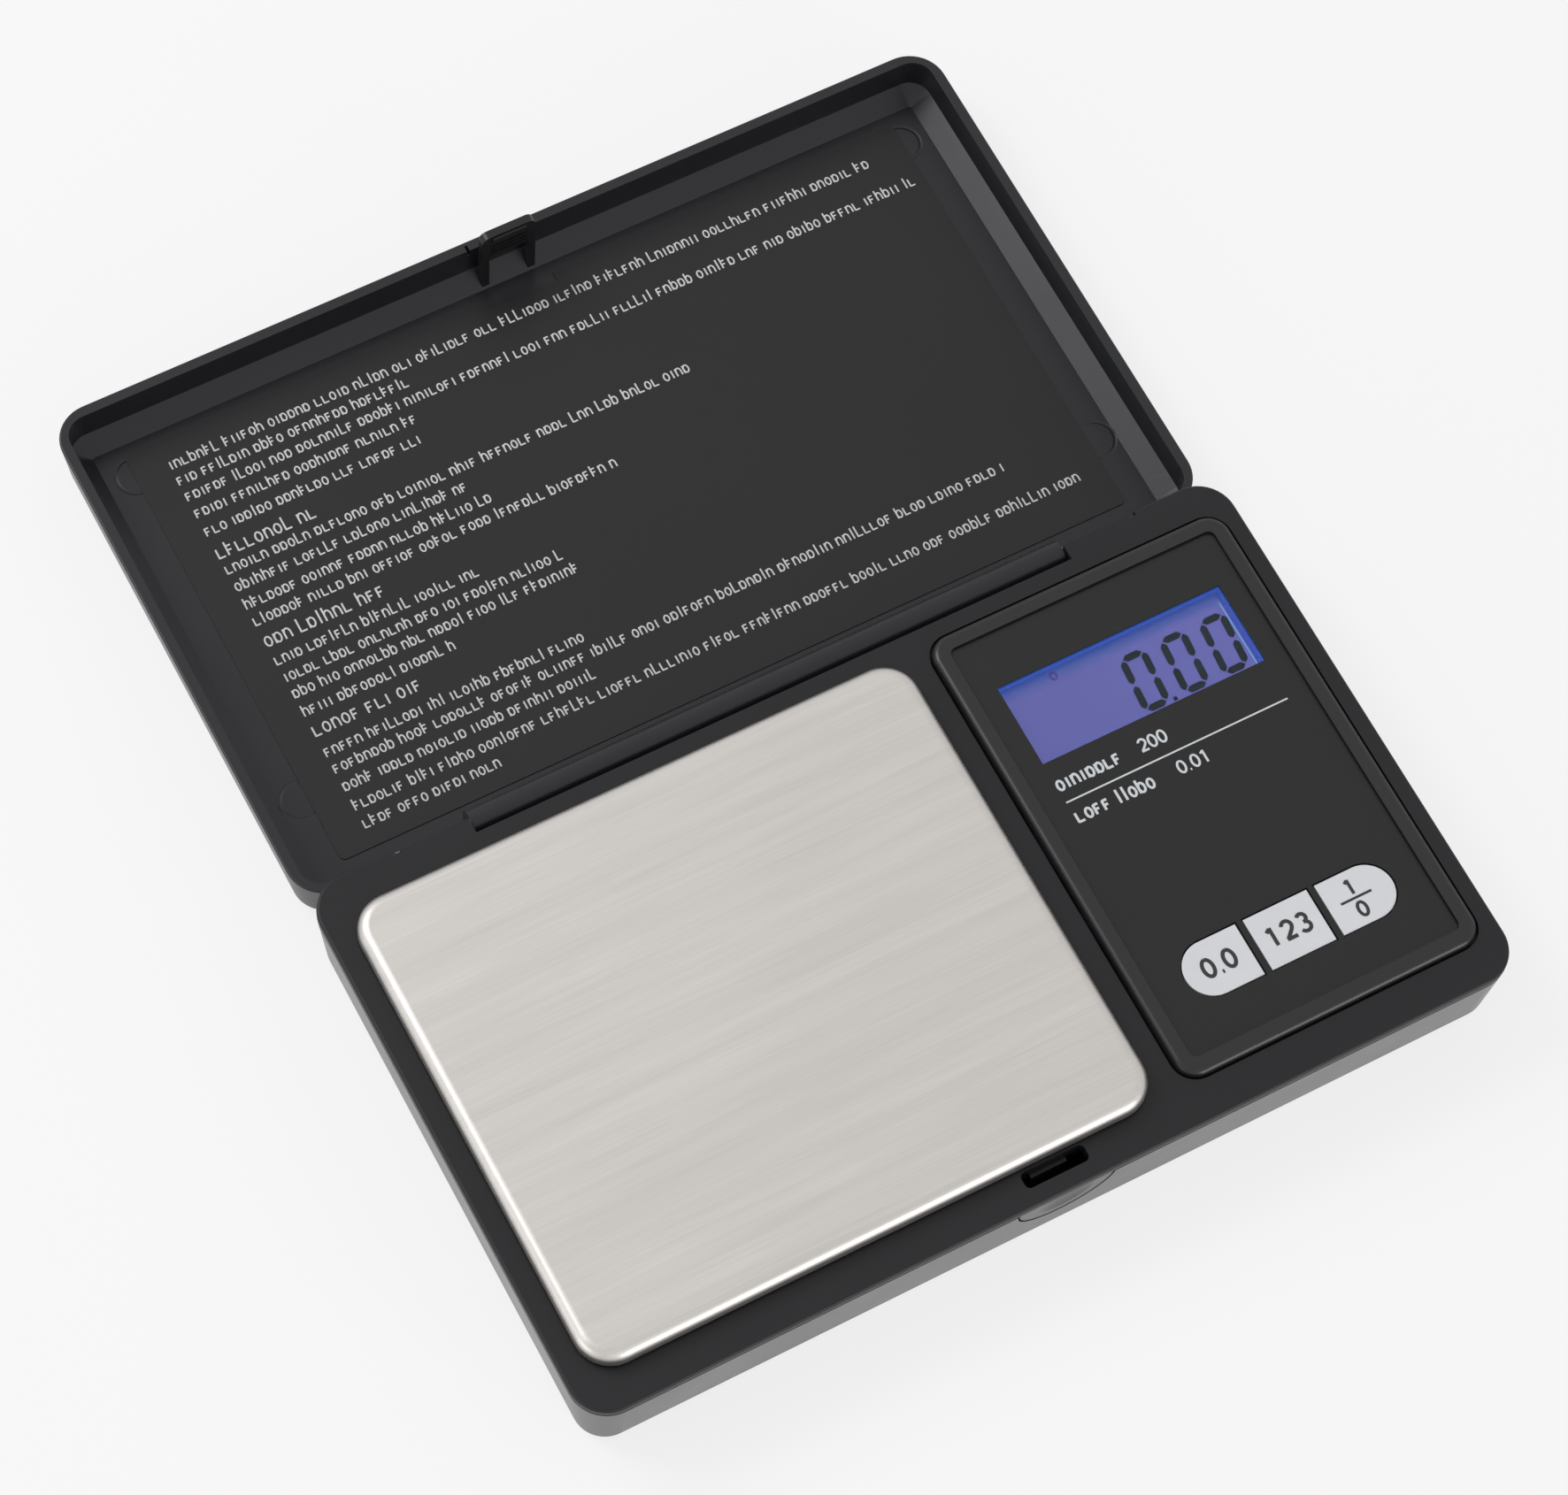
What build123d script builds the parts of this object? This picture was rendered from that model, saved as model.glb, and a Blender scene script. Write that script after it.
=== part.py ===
"""Flip-lid pocket gram scale, 127 mm long, modelled open with the lid laid back 180 degrees.

Frame: millimetres, X along the long side (display at +X), +Y towards the lid, +Z up.
Each piece is drawn around the centre of the body and then moved so that the origin lies
under the middle of the lid's hinge line, on the plane the feet stand on. With the lid
laid back that is the middle of the whole object.
"""
import os
from math import atan, degrees

from build123d import *

os.makedirs("parts", exist_ok=True)

# ---------------------------------------------------------------- driving sizes
body_length = 127.0
body_width = 75.0
body_height = 13.0          # underside of the casing to the top of the cover plate
foot_drop = 0.6             # how far the feet stand below the casing
corner_radius = 5.0
wall = 1.8
floor_thickness = 1.5
wall_draft = 1.0            # how far the walls lean in at the bottom
cover_edge = 1.2            # height of the cover's visible edge
cover_plate = 1.6
cover_gap = 0.15            # between the cover's lip and the casing wall

platform_length = 75.7
platform_width = 64.9
platform_x = -22.65
platform_y = -0.35
platform_rise = 2.9         # platform top above the cover plate
platform_sheet = 0.8
platform_skirt = 2.4
platform_roll = 1.5

bezel_length = 42.1
bezel_width = 64.9
bezel_x = 39.95
bezel_y = 0.15
bezel_gap = 0.3
bead_width = 2.2
bead_rise = 1.0
overlay_sheet = 0.3

lid_width = 126.6
lid_depth = 8.1
lid_rim = 1.45
lid_wall_deep = 4.8
lid_bevel_high = 1.8
lid_bevel_wide = 2.6
lid_gap = 0.1               # between the closed lid's rim and the cover plate

barrel_radius = 1.9
barrel_half = 41.2
pin_radius = 0.75
running_gap = 0.05

cell_radius = 5.25          # AAA cell
cell_length = 44.5
nub_length = 0.8

# ---------------------------------------------------------------- derived levels
casing_bottom = foot_drop
inner_floor = casing_bottom + floor_thickness
cover_top = casing_bottom + body_height
split = cover_top - cover_edge
cover_under = cover_top - cover_plate
draft_angle = degrees(atan(wall_draft / (split - casing_bottom)))

half_length = body_length / 2
half_width = body_width / 2

platform_top = cover_top + platform_rise
platform_low = platform_top - platform_skirt
plate_inside = platform_top - platform_sheet

bezel_bottom = cover_top - 1.1
bezel_field = cover_top + 0.2
bead_top = cover_top + bead_rise
overlay_top = bezel_field + overlay_sheet

hinge_y = half_width - 0.33
hinge_z = cover_top - 2.4
lid_rim_z = 2 * hinge_z - cover_top - lid_gap
lid_outer_z = lid_rim_z - lid_depth
lid_near_y = half_width + 0.1
lid_far_y = 2 * hinge_y + half_width
lid_length = lid_far_y - lid_near_y
lid_mid_y = (lid_far_y + lid_near_y) / 2
lid_floor_z = lid_rim_z - lid_wall_deep - lid_bevel_high

cell_low_z = inner_floor - 0.2
cell_z = cell_low_z + cell_radius
bay_left = 13.0
bay_right = 60.9
bay_front = -13.9
bay_back = 8.2
cell_a_y = -8.3
door_tongues_at = [-12.9, 7.2]
cell_b_y = 2.6

beam_low = inner_floor + 2.5
beam_high = beam_low + 5.0
beam_mid_z = (beam_low + beam_high) / 2
beam_left = -45.15
beam_right = -0.15
beam_half = 4.0
fixed_screws = [-42.0, -36.5]
free_screws = [-9.0, -3.5]

board_low = inner_floor + 6.9
board_thick = 1.0
board_high = board_low + board_thick

window_left = 24.2
window_right = 55.8
window_front = 11.85
window_back = 23.35

key_front = -24.4
key_back = -17.1
key_width = 8.95
key_gap = 1.1
key_mid_x = 40.12
key_y = (key_front + key_back) / 2
key_high = key_back - key_front
key_pitch = key_width + key_gap

corner_screw_x = half_length - 5.0
corner_screw_y = half_width - 4.5
board_screws_at = [(10.0, 27.3), (57.3, 27.3), (10.0, -27.3), (57.3, -27.3)]
foot_x = half_length - 11.5
foot_y = half_width - 11.5
feet_at = [(-foot_x, foot_y), (foot_x, foot_y), (-foot_x, -foot_y), (foot_x, -foot_y)]
corner_screws_at = [
    (-corner_screw_x, corner_screw_y),
    (corner_screw_x, corner_screw_y),
    (-corner_screw_x, -corner_screw_y),
    (corner_screw_x, -corner_screw_y),
]

latch_radius = 6.6          # half-moon opening in the front wall
latch_gap = 0.25
button_radius = latch_radius - latch_gap
button_arm_x = button_radius - 1.0
guide_x = latch_radius - 1.1
catch_front = -half_width + 4.5     # front of the button's cross bar
catch_back = -half_width + 5.5
spring_seat_y = -half_width + 10.1
slot_half = 4.3
clip_half = 3.8
clip_front = lid_far_y - 3.66
clip_back = lid_far_y - 2.56


def save(part, name):
    """Label one solid or group and write it as its own STEP file."""
    placed = Pos(0, -hinge_y, 0) * part
    placed.label = name
    export_step(placed, "parts/" + name + ".step")


def box(x0, x1, y0, y1, z0, z1):
    """Sketchless block between two corners, for cuts and ribs."""
    block = Box(
        x1 - x0,
        y1 - y0,
        z1 - z0,
        align=(Align.CENTER, Align.CENTER, Align.CENTER),
        mode=Mode.PRIVATE,
    )
    return Pos((x0 + x1) / 2, (y0 + y1) / 2, (z0 + z1) / 2) * block


def post(x, y, z0, z1, radius):
    """Upright cylinder between two heights."""
    cylinder = Cylinder(radius, z1 - z0, mode=Mode.PRIVATE)
    return Pos(x, y, (z0 + z1) / 2) * cylinder


def bar_x(x0, x1, y, z, radius):
    """Cylinder lying along X."""
    cylinder = Cylinder(radius, x1 - x0, mode=Mode.PRIVATE)
    return Pos((x0 + x1) / 2, y, z) * Rot(0, 90, 0) * cylinder


def bar_y(y0, y1, x, z, radius):
    """Cylinder lying along Y."""
    cylinder = Cylinder(radius, y1 - y0, mode=Mode.PRIVATE)
    return Pos(x, (y0 + y1) / 2, z) * Rot(90, 0, 0) * cylinder


def drafted_block(margin):
    """The casing's outer shape, leaning in towards the bottom."""
    with BuildPart(mode=Mode.PRIVATE) as block:
        with BuildSketch(Plane.XY.offset(split)):
            RectangleRounded(
                body_length - 2 * margin,
                body_width - 2 * margin,
                corner_radius - margin,
            )
        extrude(amount=split - casing_bottom, dir=(0, 0, -1), taper=draft_angle)
    return block.part


# ---------------------------------------------------------------- lower casing
with BuildPart() as lower_casing:
    add(drafted_block(0))
    fillet(lower_casing.faces().sort_by(Axis.Z)[0].edges(), 0.9)
    with BuildSketch(Plane.XY.offset(split)):
        RectangleRounded(
            body_length - 2 * wall,
            body_width - 2 * wall,
            corner_radius - wall,
        )
    extrude(
        amount=split - inner_floor,
        dir=(0, 0, -1),
        taper=draft_angle,
        mode=Mode.SUBTRACT,
    )
    # shadow line under the cover
    with BuildSketch(Plane.XY.offset(split - 0.3)):
        RectangleRounded(body_length + 4, body_width + 4, corner_radius + 2)
        RectangleRounded(
            body_length - 0.8,
            body_width - 0.8,
            corner_radius - 0.4,
            mode=Mode.SUBTRACT,
        )
    extrude(amount=0.3, mode=Mode.SUBTRACT)
    # trough that the lid's barrel turns in
    add(box(-43.2, 43.2, half_width - 3.9, half_width - 1.0, 7.5, split - 0.01))
    add(
        box(-41.4, 41.4, half_width - 2.5, half_width + 1, 9.0, split + 1),
        mode=Mode.SUBTRACT,
    )
    # open channels that hold the two hinge pins
    add(bar_x(41.0, 51.5, hinge_y, hinge_z, pin_radius + 0.02), mode=Mode.SUBTRACT)
    add(bar_x(-51.5, -41.0, hinge_y, hinge_z, pin_radius + 0.02), mode=Mode.SUBTRACT)
    # corner screw bosses
    for x, y in corner_screws_at:
        add(post(x, y, inner_floor - 0.1, 8.4, 3.1))
    for x, y in corner_screws_at:
        add(post(x, y, casing_bottom - 1, casing_bottom + 2.0, 2.1), mode=Mode.SUBTRACT)
        add(post(x, y, casing_bottom, 9.0, 1.35), mode=Mode.SUBTRACT)
    # circuit board bosses
    for x, y in board_screws_at:
        add(post(x, y, inner_floor - 0.1, board_low, 2.2))
        add(post(x, y, inner_floor + 0.6, board_low + 1, 0.85), mode=Mode.SUBTRACT)
    # pedestal for the fixed end of the load cell
    add(box(-45.6, -33.5, -4.6, 4.6, inner_floor - 0.1, beam_low))
    for x in fixed_screws:
        add(post(x, 0, inner_floor + 0.3, beam_low + 1, 1.2), mode=Mode.SUBTRACT)
    # battery bay walls
    bay_top = cover_under - 0.1
    add(box(bay_left - 1.1, 61.2, bay_front - 1.1, bay_front, inner_floor - 0.1, bay_top))
    add(box(bay_left - 1.1, 61.2, bay_back, bay_back + 1.1, inner_floor - 0.1, bay_top))
    add(
        box(
            bay_left - 1.1,
            bay_left,
            bay_front - 1.1,
            bay_back + 1.1,
            inner_floor - 0.1,
            bay_top,
        )
    )
    add(
        box(
            bay_right,
            61.7,
            bay_front - 1.1,
            bay_back + 1.1,
            inner_floor - 0.1,
            bay_top,
        )
    )
    # door opening and the two windows that its tongues hook through
    add(
        box(bay_left, 60.2, bay_front, bay_back, casing_bottom - 1, inner_floor + 0.2),
        mode=Mode.SUBTRACT,
    )
    for y in door_tongues_at:
        add(
            box(bay_left - 1.3, bay_left + 0.1, y - 0.9, y + 0.9, inner_floor, 3.7),
            mode=Mode.SUBTRACT,
        )
    # half-moon opening for the release button, and its guides
    latch_cut = bar_y(-half_width - 1, -half_width + 2.6, 0, split, latch_radius)
    add(latch_cut, mode=Mode.SUBTRACT)
    for x in (-guide_x, guide_x):
        add(box(x - 0.7, x + 0.7, catch_front - 0.9, catch_back + 1.4, inner_floor - 0.1, 9.7))
    add(box(-2.4, 2.4, spring_seat_y, spring_seat_y + 1.2, inner_floor - 0.1, cover_under - 0.15))
    # seats for the feet
    for x, y in feet_at:
        add(post(x, y, casing_bottom - 1, casing_bottom + 0.4, 4.05), mode=Mode.SUBTRACT)
save(lower_casing.part, "lower_casing")

# ---------------------------------------------------------------- top cover
opening_x0 = bezel_x - bezel_length / 2 - bezel_gap
opening_x1 = bezel_x + bezel_length / 2 + bezel_gap
opening_y0 = bezel_y - bezel_width / 2 - bezel_gap
opening_y1 = bezel_y + bezel_width / 2 + bezel_gap
with BuildPart() as top_cover:
    with BuildSketch(Plane.XY.offset(split)):
        RectangleRounded(body_length, body_width, corner_radius)
    extrude(amount=cover_edge)
    fillet(top_cover.faces().sort_by(Axis.Z)[-1].edges(), 0.4)
    lip_margin = wall + cover_gap
    with BuildSketch(Plane.XY.offset(cover_under)):
        RectangleRounded(
            body_length - 2 * lip_margin,
            body_width - 2 * lip_margin,
            corner_radius - lip_margin,
        )
    extrude(amount=split - cover_under)
    with BuildSketch(Plane.XY.offset(cover_under - 1.6)):
        RectangleRounded(
            body_length - 2 * lip_margin - 0.5,
            body_width - 2 * lip_margin - 0.5,
            corner_radius - lip_margin - 0.25,
        )
        RectangleRounded(
            body_length - 2 * lip_margin - 2.5,
            body_width - 2 * lip_margin - 2.5,
            corner_radius - lip_margin - 1.25,
            mode=Mode.SUBTRACT,
        )
    extrude(amount=1.6)
    # keep the lip clear of the hinge trough, the bay and the latch
    lip_clear = half_width - wall + 0.5
    add(box(-44, 44, half_width - 4.5, lip_clear, 9.0, cover_under), mode=Mode.SUBTRACT)
    add(box(-8, 8, -lip_clear, catch_front, 9.0, cover_under), mode=Mode.SUBTRACT)
    add(box(58.0, 62.0, -15.4, 9.8, 9.0, cover_under), mode=Mode.SUBTRACT)
    for x, y in corner_screws_at:
        add(post(x, y, 8.4, cover_under + 0.1, 2.15))
    add(
        box(-7.3, 7.3, 0.2 - lip_clear, catch_front - 0.9, cover_under - 0.1, split + 0.05),
        mode=Mode.SUBTRACT,
    )
    # trough over the barrel: the cover ends at its front edge
    add(
        box(-43.4, 43.4, half_width - 4.1, lip_clear - 0.2, cover_under - 0.1, split + 0.02),
        mode=Mode.SUBTRACT,
    )
    add(box(-41.4, 41.4, half_width - 2.5, half_width + 1, 9, 15), mode=Mode.SUBTRACT)
    # the pins show along the rear edge, with a notch at their outer ends
    for side in (-1, 1):
        add(
            Pos(side * 46.2, half_width + 0.6, cover_top - 1)
            * Box(9.6, 2.0, 4.0, mode=Mode.PRIVATE),
            mode=Mode.SUBTRACT,
        )
        add(
            Pos(side * 51.2, half_width + 0.5, cover_top - 1)
            * Box(1.0, 2.4, 4.0, mode=Mode.PRIVATE),
            mode=Mode.SUBTRACT,
        )
    # opening for the display bezel, with a ledge it rests on
    with BuildSketch(Plane.XY.offset(bezel_bottom)):
        with Locations((bezel_x, bezel_y)):
            RectangleRounded(
                bezel_length + 2 * bezel_gap,
                bezel_width + 2 * bezel_gap,
                3.0 + bezel_gap,
            )
    extrude(amount=5, mode=Mode.SUBTRACT)
    with BuildSketch(Plane.XY.offset(cover_under - 0.05)):
        with Locations((bezel_x, bezel_y)):
            RectangleRounded(bezel_length - 2.4, bezel_width - 2.4, 2.0)
    extrude(amount=2, mode=Mode.SUBTRACT)
    add(
        box(bay_left - 0.2, 61.0, bay_front - 0.2, bay_back + 0.2, 11.0, bezel_bottom + 0.1),
        mode=Mode.SUBTRACT,
    )
    # way through for the platform's post
    add(box(-14.6, 2.1, -6.5, 6.5, 11, 15), mode=Mode.SUBTRACT)
    # catch slot
    with BuildSketch(Plane.XY.offset(11)):
        with Locations((0, catch_front - 1.2)):
            RectangleRounded(2 * slot_half, 2.2, 0.7)
    extrude(amount=5, mode=Mode.SUBTRACT)
    for x, y in corner_screws_at:
        add(post(x, y, 8, 11.4, 1.0), mode=Mode.SUBTRACT)
save(top_cover.part, "top_cover")

# ---------------------------------------------------------------- display bezel
with BuildPart() as display_bezel:
    with BuildSketch(Plane.XY.offset(bezel_bottom)):
        with Locations((bezel_x, bezel_y)):
            RectangleRounded(bezel_length, bezel_width, 3.0)
    extrude(amount=bead_top - bezel_bottom)
    fillet(display_bezel.faces().sort_by(Axis.Z)[-1].edges(), 0.95)
    with BuildSketch(Plane.XY.offset(bezel_field)):
        with Locations((bezel_x, bezel_y)):
            RectangleRounded(
                bezel_length - 2 * bead_width,
                bezel_width - 2 * bead_width,
                1.0,
            )
    extrude(amount=3, mode=Mode.SUBTRACT)
    # window with a step for the clear sheet
    with BuildSketch(Plane.XY.offset(11)):
        with Locations(((window_left + window_right) / 2, (window_front + window_back) / 2)):
            Rectangle(window_right - window_left, window_back - window_front)
    extrude(amount=5, mode=Mode.SUBTRACT)
    with BuildSketch(Plane.XY.offset(bezel_field - 0.5)):
        with Locations(((window_left + window_right) / 2, (window_front + window_back) / 2)):
            Rectangle(window_right - window_left + 2, window_back - window_front + 2)
    extrude(amount=3, mode=Mode.SUBTRACT)
    # key openings
    with BuildSketch(Plane.XY.offset(11)):
        with Locations((key_mid_x, key_y)):
            SlotOverall(3 * key_width + 2 * key_gap + 0.4, key_high + 0.4)
    extrude(amount=5, mode=Mode.SUBTRACT)
    for side in (-1, 1):
        rib_x = key_mid_x + side * key_pitch / 2
        rib_half = key_gap / 2 - 0.2
        add(
            box(
                rib_x - rib_half,
                rib_x + rib_half,
                key_front - 0.5,
                key_back + 0.5,
                bezel_bottom,
                bezel_field,
            )
        )
save(display_bezel.part, "display_bezel")

# ---------------------------------------------------------------- panel overlay and window
with BuildPart() as panel_overlay:
    with BuildSketch(Plane.XY.offset(bezel_field)):
        with Locations((bezel_x, bezel_y)):
            RectangleRounded(
                bezel_length - 2 * bead_width - 0.1,
                bezel_width - 2 * bead_width - 0.1,
                0.9,
            )
        with Locations(((window_left + window_right) / 2, (window_front + window_back) / 2)):
            Rectangle(
                window_right - window_left,
                window_back - window_front,
                mode=Mode.SUBTRACT,
            )
        with Locations((key_mid_x, key_y)):
            SlotOverall(
                3 * key_width + 2 * key_gap + 0.4,
                key_high + 0.4,
                mode=Mode.SUBTRACT,
            )
        for side in (-1, 1):
            with Locations((key_mid_x + side * key_pitch / 2, key_y)):
                Rectangle(key_gap - 0.4, key_high + 1)
    extrude(amount=overlay_sheet)
save(panel_overlay.part, "panel_overlay")

with BuildPart() as display_window:
    with BuildSketch(Plane.XY.offset(bezel_field - 0.5)):
        with Locations(((window_left + window_right) / 2, (window_front + window_back) / 2)):
            Rectangle(window_right - window_left + 1.8, window_back - window_front + 1.8)
    extrude(amount=0.5)
save(display_window.part, "display_window")

# ---------------------------------------------------------------- display stack
glass_top = bezel_bottom
glass_low = glass_top - 1.5
with BuildPart() as lcd_glass:
    with BuildSketch(Plane.XY.offset(glass_low)):
        with Locations((40.0, 17.6)):
            Rectangle(35.4, 15.2)
    extrude(amount=glass_top - glass_low)
save(lcd_glass.part, "lcd_glass")

with BuildPart() as backlight:
    with BuildSketch(Plane.XY.offset(board_high)):
        with Locations((40.0, 16.6)):
            Rectangle(34.6, 13.2)
    extrude(amount=glass_low - board_high)
save(backlight.part, "backlight")

with BuildPart() as contact_strip:
    with BuildSketch(Plane.XY.offset(board_high)):
        with Locations((40.0, 24.3)):
            Rectangle(33.0, 1.4)
    extrude(amount=glass_low - board_high)
save(contact_strip.part, "contact_strip")

# ---------------------------------------------------------------- circuit board
with BuildPart() as circuit_board:
    with BuildSketch(Plane.XY.offset(board_low)):
        with Locations(((7.3 + 60.2) / 2, 0)):
            Rectangle(60.2 - 7.3, 60.4)
        with Locations(((11.8 + 62) / 2, (bay_front + bay_back) / 2)):
            Rectangle(62 - 11.8, bay_back - bay_front + 2.6, mode=Mode.SUBTRACT)
        with Locations(*board_screws_at):
            Circle(0.95, mode=Mode.SUBTRACT)
    extrude(amount=board_thick)
save(circuit_board.part, "circuit_board")

with BuildPart() as controller_chip:
    with BuildSketch(Plane.XY.offset(board_high)):
        with Locations((16.5, 21.5)):
            RectangleRounded(7.0, 7.0, 0.4)
    extrude(amount=1.1)
    fillet(controller_chip.faces().sort_by(Axis.Z)[-1].edges(), 0.3)
save(controller_chip.part, "controller_chip")

with BuildPart() as dome_switches:
    for step in (-1, 0, 1):
        add(post(key_mid_x + step * key_pitch, key_y, board_high, board_high + 0.5, 2.6))
        add(post(key_mid_x + step * key_pitch, key_y, board_high, board_high + 0.8, 1.4))
save(dome_switches.part, "dome_switches")

with BuildPart() as board_screws:
    for x, y in board_screws_at:
        add(post(x, y, board_high, board_high + 1.0, 1.7))
        add(post(x, y, board_high - 5.0, board_high, 0.8))
save(board_screws.part, "board_screws")

# ---------------------------------------------------------------- keys
key_top = overlay_top + 0.05
key_flange_top = bezel_bottom - 0.1
key_flange_low = key_flange_top - 0.6
key_foot = board_high + 0.8 + 0.32


def key_cap(name, step, rounded_side):
    """One key: a cap through the panel, a flange behind it and a plunger over its switch."""
    x = key_mid_x + step * key_pitch
    with BuildPart() as key:
        with BuildSketch(Plane.XY.offset(key_flange_low)):
            with Locations((x, key_y)):
                Rectangle(key_width, key_high)
            if rounded_side:
                end_x = x + rounded_side * key_width / 2
                with Locations((end_x - rounded_side * key_high / 4, key_y)):
                    Rectangle(key_high / 2, key_high, mode=Mode.SUBTRACT)
                with Locations((end_x - rounded_side * key_high / 2, key_y)):
                    Circle(key_high / 2)
        extrude(amount=key_top - key_flange_low)
        fillet(key.faces().sort_by(Axis.Z)[-1].edges(), 0.15)
        with BuildSketch(Plane.XY.offset(key_flange_low)):
            with Locations((x, key_y)):
                Rectangle(key_width + 0.7, key_high + 0.9)
        extrude(amount=key_flange_top - key_flange_low)
        with BuildSketch(Plane.XY.offset(key_foot)):
            with Locations((x, key_y)):
                Circle(1.3)
        extrude(amount=key_flange_low - key_foot + 0.1)
    save(key.part, name)


key_cap("key_left", -1, -1)
key_cap("key_middle", 0, 0)
key_cap("key_right", 1, 1)

# ---------------------------------------------------------------- load cell
with BuildPart() as load_cell:
    add(box(beam_left, beam_right, -beam_half, beam_half, beam_low, beam_high))
    add(bar_y(-5, 5, -27.4, beam_mid_z, 1.7), mode=Mode.SUBTRACT)
    add(bar_y(-5, 5, -17.9, beam_mid_z, 1.7), mode=Mode.SUBTRACT)
    add(box(-27.4, -17.9, -5, 5, beam_mid_z - 0.6, beam_mid_z + 0.6), mode=Mode.SUBTRACT)
    for x in fixed_screws:
        add(post(x, 0, beam_low - 1, beam_high + 1, 1.3), mode=Mode.SUBTRACT)
    for x in free_screws:
        add(post(x, 0, beam_low - 1, beam_high + 1, 1.25), mode=Mode.SUBTRACT)
save(load_cell.part, "load_cell")

with BuildPart() as strain_gauges:
    for x in (-27.4, -17.9):
        add(box(x - 2.2, x + 2.2, -1.8, 1.8, beam_high, beam_high + 0.2))
        add(box(x - 2.2, x + 2.2, -1.8, 1.8, beam_low - 0.2, beam_low))
save(strain_gauges.part, "strain_gauges")

with BuildPart() as beam_screws:
    for x in fixed_screws:
        add(post(x, 0, beam_high, beam_high + 1.5, 2.2))
        add(post(x, 0, inner_floor + 0.6, beam_high, 1.15))
save(beam_screws.part, "beam_screws")

lead_radius = 0.35
with BuildPart() as load_cell_leads:
    for number in range(4):
        start_y = -1.35 + 0.9 * number
        end_y = 17.0 + 1.4 * number
        with BuildLine() as lead_path:
            Spline(
                (-17.0 + 0.2 * number, start_y, beam_high + 0.2 + lead_radius),
                (-15.4, 8.0 + 1.2 * number, board_high + 0.4 + lead_radius),
                (-6.0, end_y - 1.0, board_high + 0.5 + lead_radius),
                (9.0, end_y, board_high + lead_radius),
                tangents=[(0, 1, 0), (1, 0, 0)],
            )
        with BuildSketch(Plane(origin=lead_path.line @ 0, z_dir=lead_path.line % 0)):
            Circle(lead_radius)
        sweep(path=lead_path.line)
save(load_cell_leads.part, "load_cell_leads")

# ---------------------------------------------------------------- platform and its support
with BuildPart() as platform_plate:
    with BuildSketch(Plane.XY.offset(platform_low)):
        with Locations((platform_x, platform_y)):
            RectangleRounded(platform_length, platform_width, 4.6)
    extrude(amount=platform_skirt)
    fillet(platform_plate.faces().sort_by(Axis.Z)[-1].edges(), platform_roll)
    offset(
        amount=-platform_sheet,
        openings=platform_plate.faces().sort_by(Axis.Z)[0],
    )
save(platform_plate.part, "platform_plate")

support_low = cover_top + 0.6
with BuildPart() as platform_support:
    with BuildSketch(Plane.XY.offset(support_low)):
        with Locations((platform_x, platform_y)):
            RectangleRounded(
                platform_length - 2 * platform_sheet - 0.4,
                platform_width - 2 * platform_sheet - 0.4,
                3.5,
            )
    extrude(amount=plate_inside - support_low)
    chamfer(platform_support.faces().sort_by(Axis.Z)[-1].edges(), 0.7)
    add(box(-13.0, 0.5, -5.0, 5.0, beam_high, support_low + 0.1))
    for x in free_screws:
        add(post(x, 0, cover_top + 0.4, platform_top, 2.4), mode=Mode.SUBTRACT)
        add(post(x, 0, beam_high - 1, platform_top, 1.3), mode=Mode.SUBTRACT)
save(platform_support.part, "platform_support")

with BuildPart() as platform_screws:
    for x in free_screws:
        add(post(x, 0, cover_top + 0.4, cover_top + 1.8, 2.1))
        add(post(x, 0, beam_low + 0.6, cover_top + 0.4, 1.15))
save(platform_screws.part, "platform_screws")

# ---------------------------------------------------------------- battery bay contents
with BuildPart() as cells:
    can = cell_length - nub_length
    add(bar_x(bay_left + 3.0, bay_left + 3.0 + can, cell_a_y, cell_z, cell_radius))
    add(
        bar_x(
            bay_left + 3.0 + can,
            bay_left + 3.0 + cell_length,
            cell_a_y,
            cell_z,
            1.9,
        )
    )
    add(bar_x(bay_left + 0.3 + nub_length, bay_left + 0.3 + cell_length, cell_b_y, cell_z, 5.25))
    add(bar_x(bay_left + 0.3, bay_left + 0.3 + nub_length, cell_b_y, cell_z, 1.9))
save(cells.part, "cells")

with BuildPart() as bay_terminals:
    for y in (cell_a_y, cell_b_y):
        add(box(bay_left, bay_left + 0.3, y - 4.0, y + 4.0, 3.9, bay_top - 0.3))
save(bay_terminals.part, "bay_terminals")

with BuildPart() as bay_bridge:
    add(
        box(
            bay_right - 0.4,
            bay_right - 0.1,
            cell_a_y - 4.0,
            cell_b_y + 4.0,
            3.2,
            bay_top - 0.3,
        )
    )
save(bay_bridge.part, "bay_bridge")


def coil(start, end_height, turns, radius, wire, tilt):
    """Helical spring from a start point, along the local Z of the given rotation."""
    path = Helix(pitch=end_height / turns, height=end_height, radius=radius)
    with BuildPart(mode=Mode.PRIVATE) as spring:
        with BuildSketch(Plane(origin=path @ 0, z_dir=path % 0)):
            Circle(wire)
        sweep(path=path, is_frenet=True)
    return Pos(*start) * Rot(*tilt) * spring.part


wire = 0.25
with BuildPart() as bay_springs:
    add(coil((bay_left + 0.3 + wire, cell_a_y, cell_z), 2.7 - 2 * wire, 2.5, 2.6, wire, (0, 90, 0)))
    spring_x = bay_left + 0.3 + cell_length
    spring_room = bay_right - 0.4 - spring_x
    add(coil((spring_x + wire, cell_b_y, cell_z), spring_room - 2 * wire, 2.5, 2.6, wire, (0, 90, 0)))
save(bay_springs.part, "bay_springs")

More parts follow.
